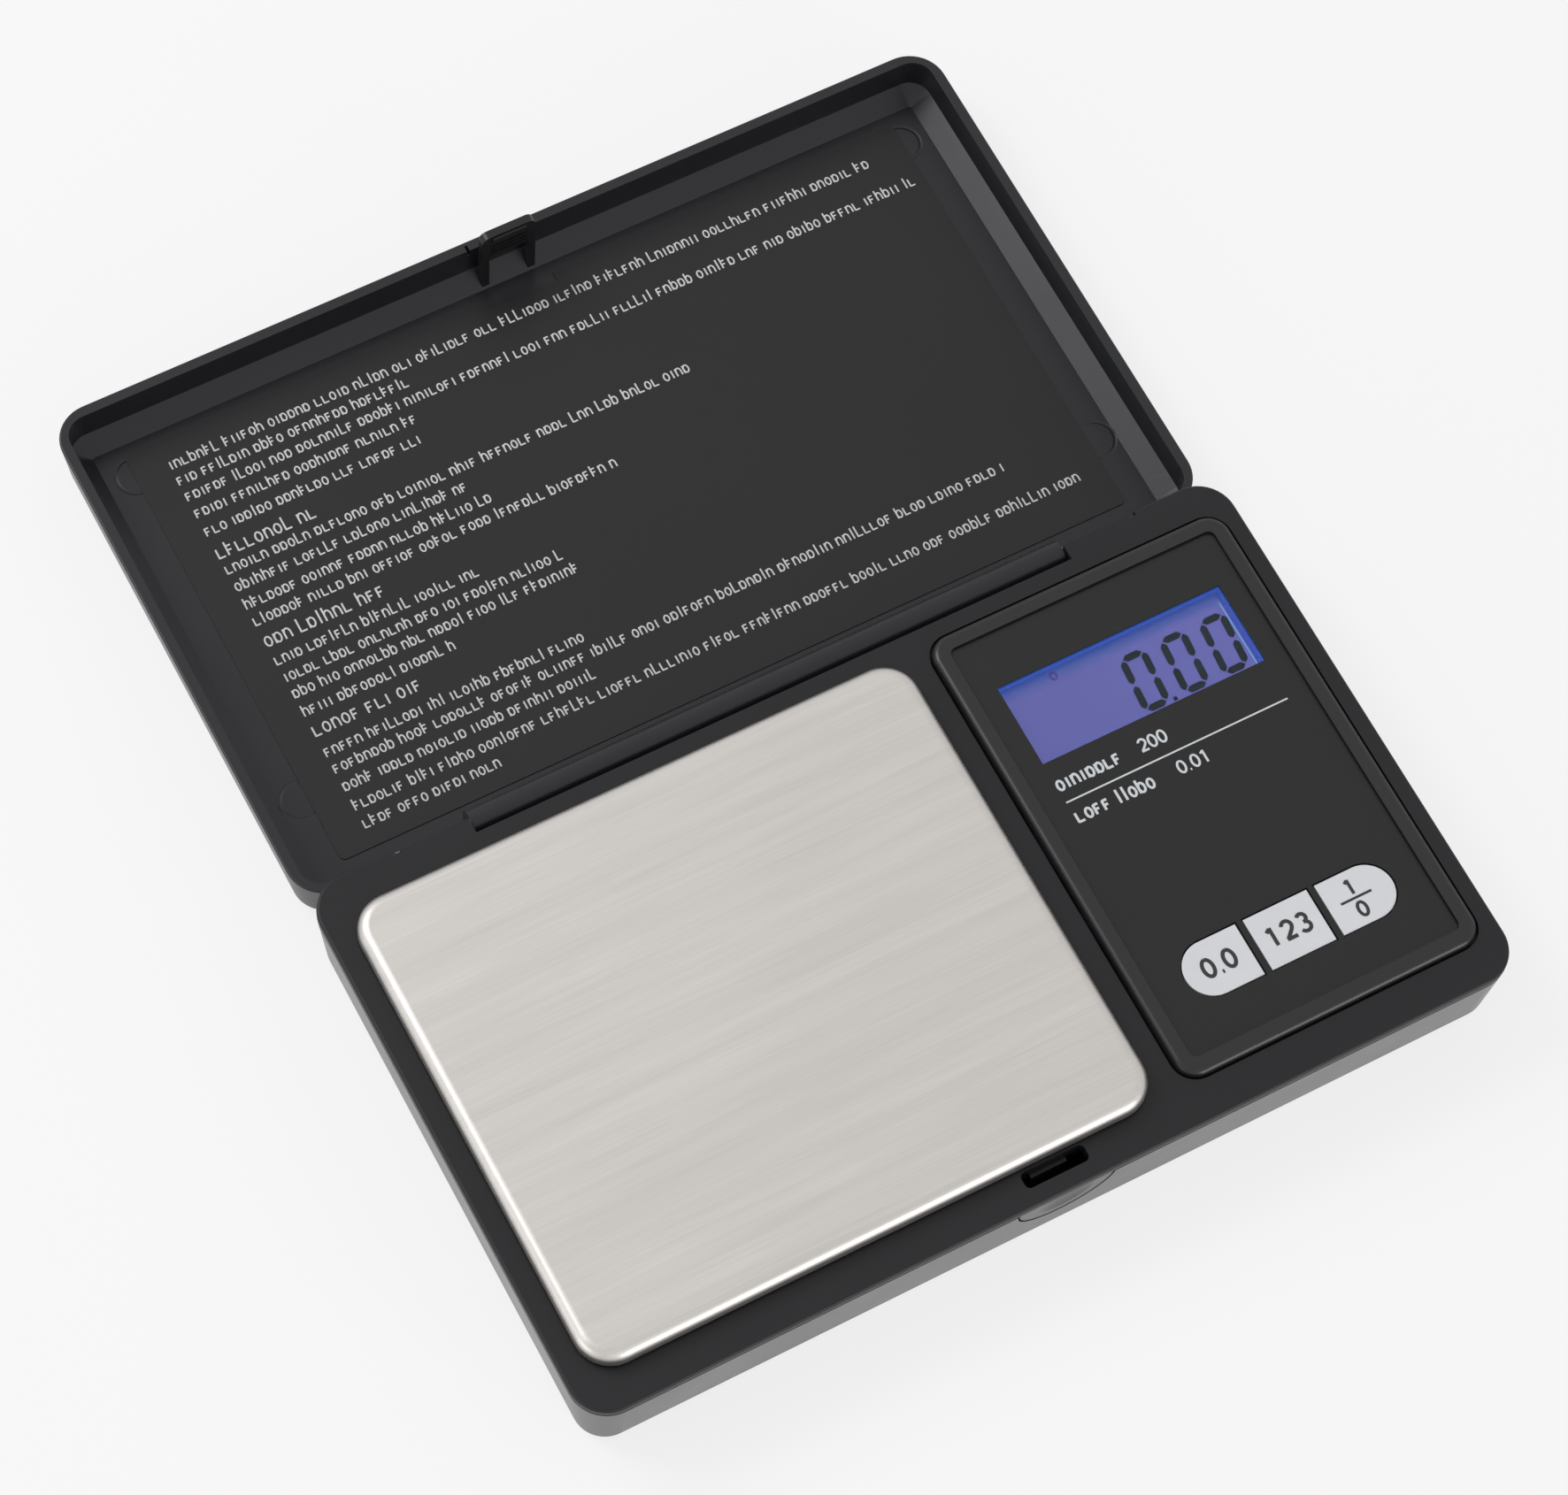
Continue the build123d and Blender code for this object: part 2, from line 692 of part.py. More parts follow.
# ---------------------------------------------------------------- battery door
door_left = bay_left + 0.2
door_right = 60.0
door_top = inner_floor - 0.3
door_round = 0.4
with BuildPart() as battery_door:
    with BuildSketch(Plane.XY.offset(casing_bottom)):
        with Locations(((door_left + door_right) / 2, (bay_front + bay_back) / 2)):
            RectangleRounded(door_right - door_left, bay_back - bay_front - 0.4, 0.5)
    extrude(amount=door_top - casing_bottom)
    # rounded rim: the door rolls on its left edge, whose round is centred on the hinge line
    fillet(battery_door.faces().sort_by(Axis.Z)[0].edges(), door_round)
    for y in door_tongues_at:
        add(box(door_left, door_left + 0.7, y - 0.7, y + 0.7, door_top - 0.1, 3.0))
        add(box(door_left - 1.1, door_left + 0.7, y - 0.7, y + 0.7, inner_floor + 0.1, 3.0))
    mid_y = (cell_a_y + cell_b_y) / 2
    add(box(door_right - 0.8, door_right, mid_y - 1.2, mid_y + 1.2, door_top - 0.1, 2.9))
    add(box(door_right - 0.8, door_right + 0.5, mid_y - 1.2, mid_y + 1.2, inner_floor + 0.1, 2.9))
    for step in range(4):
        rib_x = door_right - 3.0 - 1.5 * step
        add(box(rib_x, rib_x + 0.7, -7.5, 1.8, casing_bottom - 1, casing_bottom + 0.3), mode=Mode.SUBTRACT)
save(battery_door.part, "battery_door")

# ---------------------------------------------------------------- feet and corner screws
with BuildPart() as feet:
    for x, y in feet_at:
        add(post(x, y, 0, casing_bottom + 0.4, 4.0))
    fillet(feet.faces().group_by(Axis.Z)[0].edges(), 0.3)
save(feet.part, "feet")

with BuildPart() as corner_screws:
    for x, y in corner_screws_at:
        add(post(x, y, casing_bottom + 0.5, casing_bottom + 2.0, 1.9))
        add(post(x, y, casing_bottom + 2.0, 10.6, 0.95))
    for x, y in corner_screws_at:
        add(box(x - 1.2, x + 1.2, y - 0.25, y + 0.25, casing_bottom, casing_bottom + 1.1), mode=Mode.SUBTRACT)
        add(box(x - 0.25, x + 0.25, y - 1.2, y + 1.2, casing_bottom, casing_bottom + 1.1), mode=Mode.SUBTRACT)
save(corner_screws.part, "corner_screws")

# ---------------------------------------------------------------- hinge pins
with BuildPart() as hinge_pins:
    add(bar_x(-51.0, -37.4, hinge_y, hinge_z, pin_radius))
    add(bar_x(37.4, 51.0, hinge_y, hinge_z, pin_radius))
save(hinge_pins.part, "hinge_pins")

# ---------------------------------------------------------------- lid
lid_draft = degrees(atan(0.9 / lid_depth))
bevel_angle = degrees(atan(lid_bevel_wide / lid_bevel_high))
inner_radius = 2.9
with BuildPart() as lid_shell:
    with BuildSketch(Plane.XY.offset(lid_rim_z)):
        with Locations((0, lid_mid_y)):
            RectangleRounded(lid_width, lid_length, corner_radius)
    extrude(amount=lid_depth, dir=(0, 0, -1), taper=lid_draft)
    fillet(lid_shell.faces().sort_by(Axis.Z)[0].edges(), 1.2)
    fillet(lid_shell.faces().sort_by(Axis.Z)[-1].edges(), 0.25)
    with BuildSketch(Plane.XY.offset(lid_rim_z)):
        with Locations((0, lid_mid_y)):
            RectangleRounded(lid_width - 2 * lid_rim, lid_length - 2 * lid_rim, inner_radius)
    extrude(amount=lid_wall_deep, dir=(0, 0, -1), mode=Mode.SUBTRACT)
    with BuildSketch(Plane.XY.offset(lid_rim_z - lid_wall_deep)):
        with Locations((0, lid_mid_y)):
            RectangleRounded(lid_width - 2 * lid_rim, lid_length - 2 * lid_rim, inner_radius)
    extrude(amount=lid_bevel_high, dir=(0, 0, -1), taper=bevel_angle, mode=Mode.SUBTRACT)
    # hinge barrel on a web that stands on the near rim
    add(bar_x(-barrel_half, barrel_half, hinge_y, hinge_z, barrel_radius))
    add(
        box(
            -barrel_half,
            barrel_half,
            lid_near_y + 0.02,
            lid_near_y + lid_rim + 0.05,
            lid_rim_z - 0.5,
            hinge_z + 0.6,
        )
    )
    add(bar_x(36.2, 42, hinge_y, hinge_z, pin_radius + running_gap), mode=Mode.SUBTRACT)
    add(bar_x(-42, -36.2, hinge_y, hinge_z, pin_radius + running_gap), mode=Mode.SUBTRACT)
    # sockets for the clip's legs and the two thin notches beside them
    for side in (-1, 1):
        leg_x = side * (clip_half - 0.5)
        add(
            box(
                leg_x - 0.55,
                leg_x + 0.55,
                clip_front - 0.05,
                clip_back + 0.05,
                lid_floor_z - 0.4,
                lid_rim_z,
            ),
            mode=Mode.SUBTRACT,
        )
        notch_x = side * (clip_half + 0.9)
        add(
            box(
                notch_x - 0.2,
                notch_x + 0.2,
                lid_far_y - lid_rim - 1.0,
                lid_far_y - 0.6,
                lid_rim_z - 1.2,
                lid_rim_z + 1,
            ),
            mode=Mode.SUBTRACT,
        )
save(lid_shell.part, "lid_shell")

label_near = lid_near_y + 5.9
label_far = lid_far_y - 5.74
with BuildPart() as lid_label:
    with BuildSketch(Plane.XY.offset(lid_floor_z)):
        with Locations((0, (label_near + label_far) / 2)):
            RectangleRounded(lid_width - 15.4, label_far - label_near, 0.8)
        with Locations((0, label_far)):
            Rectangle(2 * clip_half + 3.0, 2.6, mode=Mode.SUBTRACT)
    extrude(amount=0.15)
save(lid_label.part, "lid_label")

# snap clip: two springy legs and a deep ribbed bar with a hook along its lip
clip_top = 2 * hinge_z - 8.6
with BuildPart() as lid_clip:
    for side in (-1, 1):
        leg_x = side * (clip_half - 0.5)
        add(box(leg_x - 0.5, leg_x + 0.5, clip_front, clip_back, lid_floor_z - 0.4, clip_top - 1))
    add(box(-clip_half, clip_half, clip_front, clip_back, lid_rim_z + 0.4, clip_top))
    fillet(lid_clip.edges().filter_by(Axis.Y).group_by(Axis.Z)[-1], 1.1)
    add(box(-2.4, 2.4, clip_front - 0.35, clip_front + 0.1, clip_top - 1.2, clip_top - 0.3))
    for step in range(3):
        rib_z = lid_rim_z + 0.9 + 0.8 * step
        add(box(-2.6, 2.6, clip_front - 0.15, clip_front + 0.1, rib_z, rib_z + 0.35))
save(lid_clip.part, "lid_clip")

# ---------------------------------------------------------------- release button and its spring
bar_low = 9.8
bar_top = 11.3
with BuildPart() as release_button:
    add(bar_y(-half_width - 1, -half_width + 1.5, 0, split, button_radius))
    add(box(-8, 8, -half_width - 2, -half_width + 3, split - 0.25, split + 8), mode=Mode.SUBTRACT)
    add(drafted_block(0.05), mode=Mode.INTERSECT)
    # finger dish
    dish = Pos(0, -half_width - 19.4, split - 2.8) * Sphere(20.0, mode=Mode.PRIVATE)
    add(dish, mode=Mode.SUBTRACT)
    for side in (-1, 1):
        arm_x = side * button_arm_x
        add(box(arm_x - 0.5, arm_x + 0.5, -half_width + 1.0, catch_back, bar_low, bar_top))
    bar_half = button_arm_x + 0.5
    add(box(-bar_half, bar_half, catch_front, catch_back, bar_low, bar_top))
    add(box(-2.7, 2.2, catch_front - 0.62, catch_front + 0.1, 10.1, bar_top + 0.3))
save(release_button.part, "release_button")

with BuildPart() as button_spring:
    add(coil((0, spring_seat_y - 0.2, 10.5), 4.6 - 0.4, 5, 1.0, 0.2, (90, 0, 0)))
save(button_spring.part, "button_spring")
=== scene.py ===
"""Looks for the flip-lid pocket gram scale.

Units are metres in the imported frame: +X towards the display, +Y towards the laid-back lid, +Z up,
with the origin under the middle of the hinge line. Every CAD piece keeps its own shape and place
and only gets a material; the printed marks are added as thin pieces that ride on the same bodies.
"""
import bpy
import numpy as np
from mathutils import Euler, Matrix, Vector


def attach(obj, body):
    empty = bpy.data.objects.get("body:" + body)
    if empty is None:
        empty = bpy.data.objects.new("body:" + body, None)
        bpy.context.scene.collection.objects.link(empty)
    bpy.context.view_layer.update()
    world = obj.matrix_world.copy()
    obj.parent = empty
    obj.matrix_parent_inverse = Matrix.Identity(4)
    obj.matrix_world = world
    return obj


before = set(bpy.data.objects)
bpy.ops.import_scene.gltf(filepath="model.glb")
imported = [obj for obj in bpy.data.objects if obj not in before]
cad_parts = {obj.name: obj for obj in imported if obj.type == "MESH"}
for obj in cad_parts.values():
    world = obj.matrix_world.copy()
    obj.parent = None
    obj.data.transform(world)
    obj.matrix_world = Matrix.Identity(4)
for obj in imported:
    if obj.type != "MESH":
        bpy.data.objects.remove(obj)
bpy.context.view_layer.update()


# ---------------------------------------------------------------- shader sums
class Sock:
    """A shader socket that adds, multiplies and so on like a number."""

    def __init__(self, mat, out):
        self.mat, self.out = mat, out

    def _math(self, op, a, b=None, clamp=False):
        node = self.mat.tree.nodes.new("ShaderNodeMath")
        node.operation, node.use_clamp = op, clamp
        for i, v in enumerate((a, b)):
            if v is None:
                continue
            if isinstance(v, Sock):
                self.mat.tree.links.new(v.out, node.inputs[i])
            else:
                node.inputs[i].default_value = float(v)
        return Sock(self.mat, node.outputs[0])

    def __add__(self, o): return self._math("ADD", self, o)
    def __radd__(self, o): return self._math("ADD", self, o)
    def __sub__(self, o): return self._math("SUBTRACT", self, o)
    def __rsub__(self, o): return self._math("SUBTRACT", o, self)
    def __mul__(self, o): return self._math("MULTIPLY", self, o)
    def __rmul__(self, o): return self._math("MULTIPLY", self, o)
    def __truediv__(self, o): return self._math("DIVIDE", self, o)
    def abs(self): return self._math("ABSOLUTE", self)
    def max(self, o): return self._math("MAXIMUM", self, o)
    def min(self, o): return self._math("MINIMUM", self, o)
    def fract(self): return self._math("FRACT", self)
    def sqrt(self): return self._math("SQRT", self)

    def ramp(self, low, high):
        """0 below low, 1 above high, smooth between."""
        node = self.mat.tree.nodes.new("ShaderNodeMapRange")
        node.interpolation_type = "SMOOTHSTEP"
        node.inputs["From Min"].default_value = low
        node.inputs["From Max"].default_value = high
        self.mat.tree.links.new(self.out, node.inputs["Value"])
        return Sock(self.mat, node.outputs["Result"])


class Mat:
    """One node material round a Principled shader."""

    def __init__(self, name, **constants):
        self.data = bpy.data.materials.new(name)
        self.data.use_nodes = True
        self.tree = self.data.node_tree
        self.shader = self.tree.nodes["Principled BSDF"]
        for key, value in constants.items():
            self.shader.inputs[key.replace("_", " ")].default_value = value
        coords = self.node("ShaderNodeTexCoord")
        self.place = Sock(self, coords.outputs["Object"])
        split = self.node("ShaderNodeSeparateXYZ", Vector=self.place)
        self.x, self.y, self.z = (Sock(self, split.outputs[i]) for i in range(3))

    def node(self, kind, **inputs):
        node = self.tree.nodes.new(kind)
        for key, value in inputs.items():
            name = key.replace("_", " ")
            if isinstance(value, Sock):
                self.tree.links.new(value.out, node.inputs[name])
            else:
                node.inputs[name].default_value = value
        return node

    def stretched(self, sx, sy, sz):
        node = self.node("ShaderNodeMapping", Vector=self.place, Scale=(sx, sy, sz))
        return Sock(self, node.outputs["Vector"])

    def noise(self, scale, detail=3.0, where=None, roughness=0.55):
        node = self.node(
            "ShaderNodeTexNoise",
            Vector=where or self.place,
            Scale=scale,
            Detail=detail,
            Roughness=roughness,
        )
        return Sock(self, node.outputs["Fac"])

    def mix(self, factor, a, b):
        node = self.node("ShaderNodeMix")
        node.data_type = "RGBA"
        for key, value in ((0, factor), (6, a), (7, b)):
            if isinstance(value, Sock):
                self.tree.links.new(value.out, node.inputs[key])
            elif key == 0:
                node.inputs[key].default_value = value
            else:
                node.inputs[key].default_value = (*value, 1.0)
        return Sock(self, node.outputs[2])

    def feed(self, name, sock):
        self.tree.links.new(sock.out, self.shader.inputs[name])
        return self

    def bump(self, height, strength, distance):
        node = self.node("ShaderNodeBump", Height=height, Strength=strength, Distance=distance)
        self.tree.links.new(node.outputs["Normal"], self.shader.inputs["Normal"])
        return self

    def wear(self, dark, light, scale, rough_low, rough_high):
        """Base colour and roughness that drift between two values."""
        drift = self.noise(scale, 4.0)
        self.feed("Base Color", self.mix(drift, dark, light))
        self.feed("Roughness", rough_low + (rough_high - rough_low) * drift)
        return self

    def on(self, *names):
        """Give this material to CAD nodes or pieces."""
        for name in names:
            mesh = (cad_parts[name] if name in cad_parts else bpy.data.objects[name]).data
            mesh.materials.clear()
            mesh.materials.append(self.data)
        return self


# ---------------------------------------------------------------- black plastic shells
# Fine spark-eroded mould texture: a tight bump, a slow drift of colour and of gloss.
def moulded(name, dark, light, rough, grain=5200.0, strength=0.25, shine=0.5):
    mat = Mat(name, Specular_IOR_Level=shine)
    mat.wear(dark, light, 60.0, rough - 0.05, rough + 0.07)
    mat.bump(mat.noise(grain, 2.0), strength, 0.00006)
    return mat


moulded("cover_plastic", (0.0075, 0.0075, 0.0092), (0.0120, 0.0120, 0.0142), 0.42, shine=0.30).on(
    "top_cover"
)
moulded("casing_plastic", (0.0175, 0.0175, 0.0178), (0.0245, 0.0245, 0.0248), 0.28, shine=0.6).on(
    "lower_casing", "battery_door"
)
moulded("clip_plastic", (0.006, 0.006, 0.007), (0.010, 0.010, 0.011), 0.33, shine=0.35).on("lid_clip")
moulded("button_plastic", (0.014, 0.014, 0.0145), (0.020, 0.020, 0.0205), 0.3).on("release_button")
moulded("support_plastic", (0.03, 0.03, 0.031), (0.04, 0.04, 0.041), 0.55).on("platform_support")

# ---------------------------------------------------------------- display bezel
# Same plastic, smoother; the backlight leaks on to the walls of the window well, which glow blue.
bezel = moulded("bezel_plastic", (0.009, 0.009, 0.0105), (0.014, 0.014, 0.0155), 0.3, strength=0.12, shine=0.42)
in_well = (
    bezel.x.ramp(0.0238, 0.0239) * (1.0 - bezel.x.ramp(0.0561, 0.0562))
    * bezel.y.ramp(-0.0258, -0.0257) * (1.0 - bezel.y.ramp(-0.0135, -0.0134))
    * bezel.z.ramp(0.0118, 0.0120) * (1.0 - bezel.z.ramp(0.01372, 0.01379))
)
bezel.feed("Emission Color", bezel.mix(in_well, (0.0, 0.0, 0.0), (0.022, 0.070, 0.36)))
bezel.shader.inputs["Emission Strength"].default_value = 1.0
bezel.on("display_bezel")

# ---------------------------------------------------------------- lid shell
# Same plastic, a little bluer; its floor carries the shallow ring marks of the mould's ejector pins,
# which show half covered by the label.
pin_marks = ((-0.0553, 0.0660), (-0.0565, 0.0160), (0.0565, 0.0160), (0.0553, 0.0660))
pin_mark_radius = 0.0026
lid = Mat("lid_plastic", Specular_IOR_Level=0.36)
lid.wear((0.0105, 0.0110, 0.0145), (0.0155, 0.0160, 0.0200), 60.0, 0.28, 0.40)
rings = None
for mark_x, mark_y in pin_marks:
    off_x, off_y = lid.x - mark_x, lid.y - mark_y
    away = ((off_x * off_x + off_y * off_y).sqrt() - pin_mark_radius).abs()
    ring = (1.0 - away.ramp(0.00008, 0.00028)) * lid.z.ramp(0.0014, 0.0018)
    rings = ring if rings is None else rings.max(ring)
lid.bump(lid.noise(5200.0, 2.0) * 0.25 - rings * 1.6, 0.6, 0.00006)
lid.on("lid_shell")

# ---------------------------------------------------------------- films: keypad overlay and lid label
# Printed polyester: smoother than the shells, with a faint orange peel and a finer grain in the bump.
def film(name, dark, light, rough, shine=0.5):
    mat = Mat(name, Specular_IOR_Level=shine)
    mat.wear(dark, light, 35.0, rough, rough + 0.08)
    mat.bump(mat.noise(700.0, 2.0) * 0.7 + mat.noise(6000.0, 1.0) * 0.3, 0.06, 0.00005)
    return mat


film("overlay_film", (0.008, 0.008, 0.0085), (0.011, 0.011, 0.0115), 0.30, 0.33).on("panel_overlay")
film("label_film", (0.0095, 0.0088, 0.0092), (0.0125, 0.0115, 0.012), 0.36, 0.33).on("lid_label")

# ---------------------------------------------------------------- brushed platform
# Stainless sheet, grained along X: long thin noise streaks in bump, gloss and colour.
steel = Mat("platform_steel", Metallic=1.0)
streak = steel.noise(1.0, 4.0, where=steel.stretched(60.0, 5200.0, 5200.0), roughness=0.7)
broad = steel.noise(1.0, 3.0, where=steel.stretched(12.0, 500.0, 500.0))
cloud = steel.noise(45.0, 2.0)
tone = ((streak * 0.55 + broad * 0.35 + cloud * 0.10) - 0.5) * 1.5 + 0.5
steel.feed("Base Color", steel.mix(tone, (0.45, 0.43, 0.41), (0.61, 0.588, 0.565)))
steel.feed("Roughness", 0.34 + 0.14 * tone)
steel.bump(streak, 0.10, 0.00002)
steel.on("platform_plate")

# ---------------------------------------------------------------- display
# A backlit violet liquid crystal glass under a clear window. The light leaks bluer along the top edge
# and at the right end, so the glow's colour runs with Y and X.
glass_left, glass_right = 0.0242, 0.0558
glass_low, glass_high = -0.02532, -0.01382
glow = Mat("lcd_face")
grain = glow.noise(900.0, 2.0)
top_band = glow.y.ramp(glass_high - 0.0022, glass_high - 0.0007)
right_edge = glow.x.ramp(glass_right - 0.0007, glass_right - 0.0004)
thread = 1.0 - (glow.x - (glass_right - 0.0006)).abs().ramp(0.00004, 0.00016)
spread = glow.x.ramp(glass_left - 0.004, glass_right + 0.004)
violet = glow.mix(spread, (0.080, 0.086, 0.37), (0.098, 0.104, 0.42))
violet = glow.mix(right_edge, violet, (0.040, 0.060, 0.42))
violet = glow.mix(thread, violet, (0.15, 0.40, 0.72))
violet = glow.mix(top_band, violet, (0.018, 0.066, 0.36))
violet = glow.mix(grain * 0.05, violet, (0.05, 0.05, 0.30))
glow.feed("Base Color", glow.mix(grain, (0.02, 0.02, 0.06), (0.03, 0.03, 0.08)))
glow.feed("Emission Color", violet)
glow.shader.inputs["Emission Strength"].default_value = 0.75
glow.feed("Roughness", 0.2 + 0.1 * grain)
glow.on("lcd_glass")

clear = Mat("window_clear", Transmission_Weight=1.0, IOR=1.2)
clear.feed("Base Color", clear.mix(clear.noise(80.0), (0.96, 0.97, 0.99), (1.0, 1.0, 1.0)))
clear.feed("Roughness", 0.01 + 0.02 * clear.noise(300.0))
clear.on("display_window")

diffuser = Mat("diffuser")
diffuser.wear((0.70, 0.72, 0.76), (0.80, 0.82, 0.85), 300.0, 0.4, 0.5)
diffuser.on("backlight")


def flat_piece(name, polygons, z, body, material):
    """Thin print: every polygon (a list of x, y points in order) becomes one flat face at height z.

    A stroke that starts away from where the last one ended lies 2 micrometres higher or lower than it.
    """
    points, faces, level, last = [], [], 0, None
    for polygon in polygons:
        if last is None or np.abs(np.subtract(polygon[0], last)).max() > 1e-9:
            level += 1
        last = polygon[-1]
        faces.append(list(range(len(points), len(points) + len(polygon))))
        points += [(float(x), float(y), z + 0.000002 * (level % 4)) for x, y in polygon]
    mesh = bpy.data.meshes.new(name)
    mesh.from_pydata(points, [], faces)
    mesh.update()
    piece = bpy.data.objects.new(name, mesh)
    bpy.context.scene.collection.objects.link(piece)
    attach(piece, body)
    material.on(name)
    return piece


def ribbon(path, width):
    """Quads along a path: each point moves width / 2 to both sides of the path's local direction."""
    path = np.asarray(path, float)
    ahead = np.gradient(path, axis=0)
    ahead /= np.linalg.norm(ahead, axis=1, keepdims=True)
    aside = np.stack([-ahead[:, 1], ahead[:, 0]], 1) * width / 2
    left, right = path + aside, path - aside
    return [[left[i], right[i], right[i + 1], left[i + 1]] for i in range(len(path) - 1)]


def arc(cx, cy, rx, ry, start, stop, steps=18):
    """Points of an ellipse arc, angles in degrees."""
    turn = np.radians(np.linspace(start, stop, steps))
    return np.stack([cx + rx * np.cos(turn), cy + ry * np.sin(turn)], 1)


def line(*corners):
    """Points along straight runs, close together so that a ribbon keeps its width at a corner."""
    runs = [np.linspace(a, b, 8)[:-1] for a, b in zip(corners[:-1], corners[1:])]
    return np.concatenate([*runs, [corners[-1]]])


def figure(digit):
    """Centre lines of a plain figure in a box 0.6 wide and 1 high."""
    if digit == "0":
        return [arc(0.3, 0.5, 0.26, 0.44, 90, 450, 30)]
    if digit == "1":
        return [line((0.12, 0.78), (0.34, 0.93)), line((0.34, 0.97), (0.34, 0.02))]
    if digit == "2":
        return [
            np.concatenate([arc(0.3, 0.68, 0.25, 0.26, 165, -38), line((0.46, 0.46), (0.06, 0.07))]),
            line((0.02, 0.06), (0.58, 0.06)),
        ]
    if digit == "3":
        return [arc(0.28, 0.72, 0.22, 0.22, 150, -90), arc(0.28, 0.28, 0.26, 0.24, 90, -155)]
    return [line((0.02, 0.05), (0.12, 0.05))]


def figures(text, x, y, size, weight, pitch=0.74, lean=0.0):
    """Polygons of a row of figures whose baseline starts at x, y; a point takes less room."""
    polygons = []
    for digit in text:
        for path in figure(digit):
            for quad in ribbon(path, weight):
                polygons.append([(x + size * (px + lean * py), y + size * py) for px, py in quad])
        x += size * (0.32 if digit == "." else pitch)
    return polygons


# The shown value "0.00": leaning seven-segment figures with mitred ends, in near-black ink on the glass.
segment_z = 0.01253
figure_high, figure_wide, figure_pitch = 0.00725, 0.00295, 0.00568
stroke, nick, lean = 0.00096, 0.00014, 0.08
first_x, base_y = 0.03974, -0.02415


def segment(x0, y0, x1, y1):
    """One bar from end to end, its two ends cut to points at 45 degrees."""
    along = np.array([x1 - x0, y1 - y0])
    long = np.hypot(*along)
    along /= long
    aside = np.array([-along[1], along[0]]) * stroke / 2
    start, stop = np.array([x0, y0]) + along * nick, np.array([x1, y1]) - along * nick
    tip = along * stroke / 2
    return [start, start + tip + aside, stop - tip + aside, stop, stop - tip - aside, start + tip - aside]


polygons = []
for place in range(3):
    w, h = figure_wide, figure_high
    bars = [
        (0, 0, w, 0), (0, h, w, h),
        (0, 0, 0, h / 2), (0, h / 2, 0, h), (w, 0, w, h / 2), (w, h / 2, w, h),
    ]
    for bar in bars:
        polygons.append(
            [(first_x + place * figure_pitch + px + lean * py, base_y + py) for px, py in segment(*bar)]
        )
dot_x, dot_y, dot_half = 0.0437, -0.02438, 0.00027
polygons.append([(dot_x + i * dot_half, dot_y + j * dot_half) for i, j in ((-1, -1), (1, -1), (1, 1), (-1, 1))])
lcd_ink = Mat("lcd_ink", Specular_IOR_Level=0.15)
lcd_ink.wear((0.004, 0.010, 0.016), (0.008, 0.016, 0.024), 900.0, 0.5, 0.6)
flat_piece("lcd_figures", polygons, segment_z, "base", lcd_ink)

# Unit mark: a plain small ring in purple, standing where the unit shows.
purple_ink = Mat("purple_ink")
purple_ink.wear((0.050, 0.008, 0.17), (0.070, 0.012, 0.21), 900.0, 0.3, 0.4)
flat_piece(
    "lcd_unit_mark", ribbon(arc(0.0317, -0.01495, 0.00042, 0.00048, 0, 360, 24), 0.00022),
    segment_z, "base", purple_ink,
)

# ---------------------------------------------------------------- print on the keypad overlay
# White ink: a rule, and two rows of stand-in words ending in plain figures.
def stand_in(rng, x, y, width, size, weight):
    """A row of meaningless letter-like marks: words of short strokes, then a gap, until width is used.

    A mark takes one upright and one or two bars or bows, picked at random, none spelling anything.
    """
    polygons, end = [], x + width
    while x < end - size * 0.6:
        for _ in range(rng.integers(3, 9)):
            if x > end - size * 0.5:
                break
            wide = 0.42 * size
            tall = size * (1.0 if rng.random() < 0.22 else 0.72)
            pick = rng.integers(0, 6)
            runs = [line((0.0, 0.0), (0.0, tall))] if pick != 3 else []
            if pick in (0, 3):
                runs.append(arc(wide / 2, 0.36 * size, wide / 2, 0.34 * size, 0, 360, 14))
            elif pick == 1:
                runs.append(arc(wide / 2, 0.36 * size, wide / 2, 0.34 * size, 180, 0, 9))
                runs.append(line((wide, 0.36 * size), (wide, 0.0)))
            elif pick == 2:
                runs.append(line((0.0, 0.04 * size), (wide, 0.04 * size)))
            elif pick == 4:
                runs.append(line((0.0, 0.68 * size), (wide * 0.8, 0.68 * size)))
                runs.append(line((0.0, 0.36 * size), (wide * 0.7, 0.36 * size)))
            else:
                runs = [line((wide * 0.25, 0.0), (wide * 0.25, tall))]
                wide *= 0.5
            for run in runs:
                for quad in ribbon(run, weight):
                    polygons.append([(x + px, y + py) for px, py in quad])
            x += wide + 0.24 * size
        x += 0.36 * size
    return polygons


white_ink = Mat("white_ink")
white_ink.wear((0.66, 0.69, 0.72), (0.80, 0.83, 0.86), 1800.0, 0.4, 0.5)
print_z = 0.01412
rng = np.random.default_rng(7)
polygons = [[(0.0242, -0.03123), (0.0556, -0.03123), (0.0556, -0.03101), (0.0242, -0.03101)]]
polygons += stand_in(rng, 0.0243, -0.02947, 0.0103, 0.0019, 0.00034)
polygons += figures("200", 0.0359, -0.02947, 0.0018, 0.17)
polygons += stand_in(rng, 0.0244, -0.03417, 0.0128, 0.0019, 0.00034)
polygons += figures("0.01", 0.0387, -0.03417, 0.0018, 0.17)
flat_piece("panel_print", polygons, print_z, "base", white_ink)

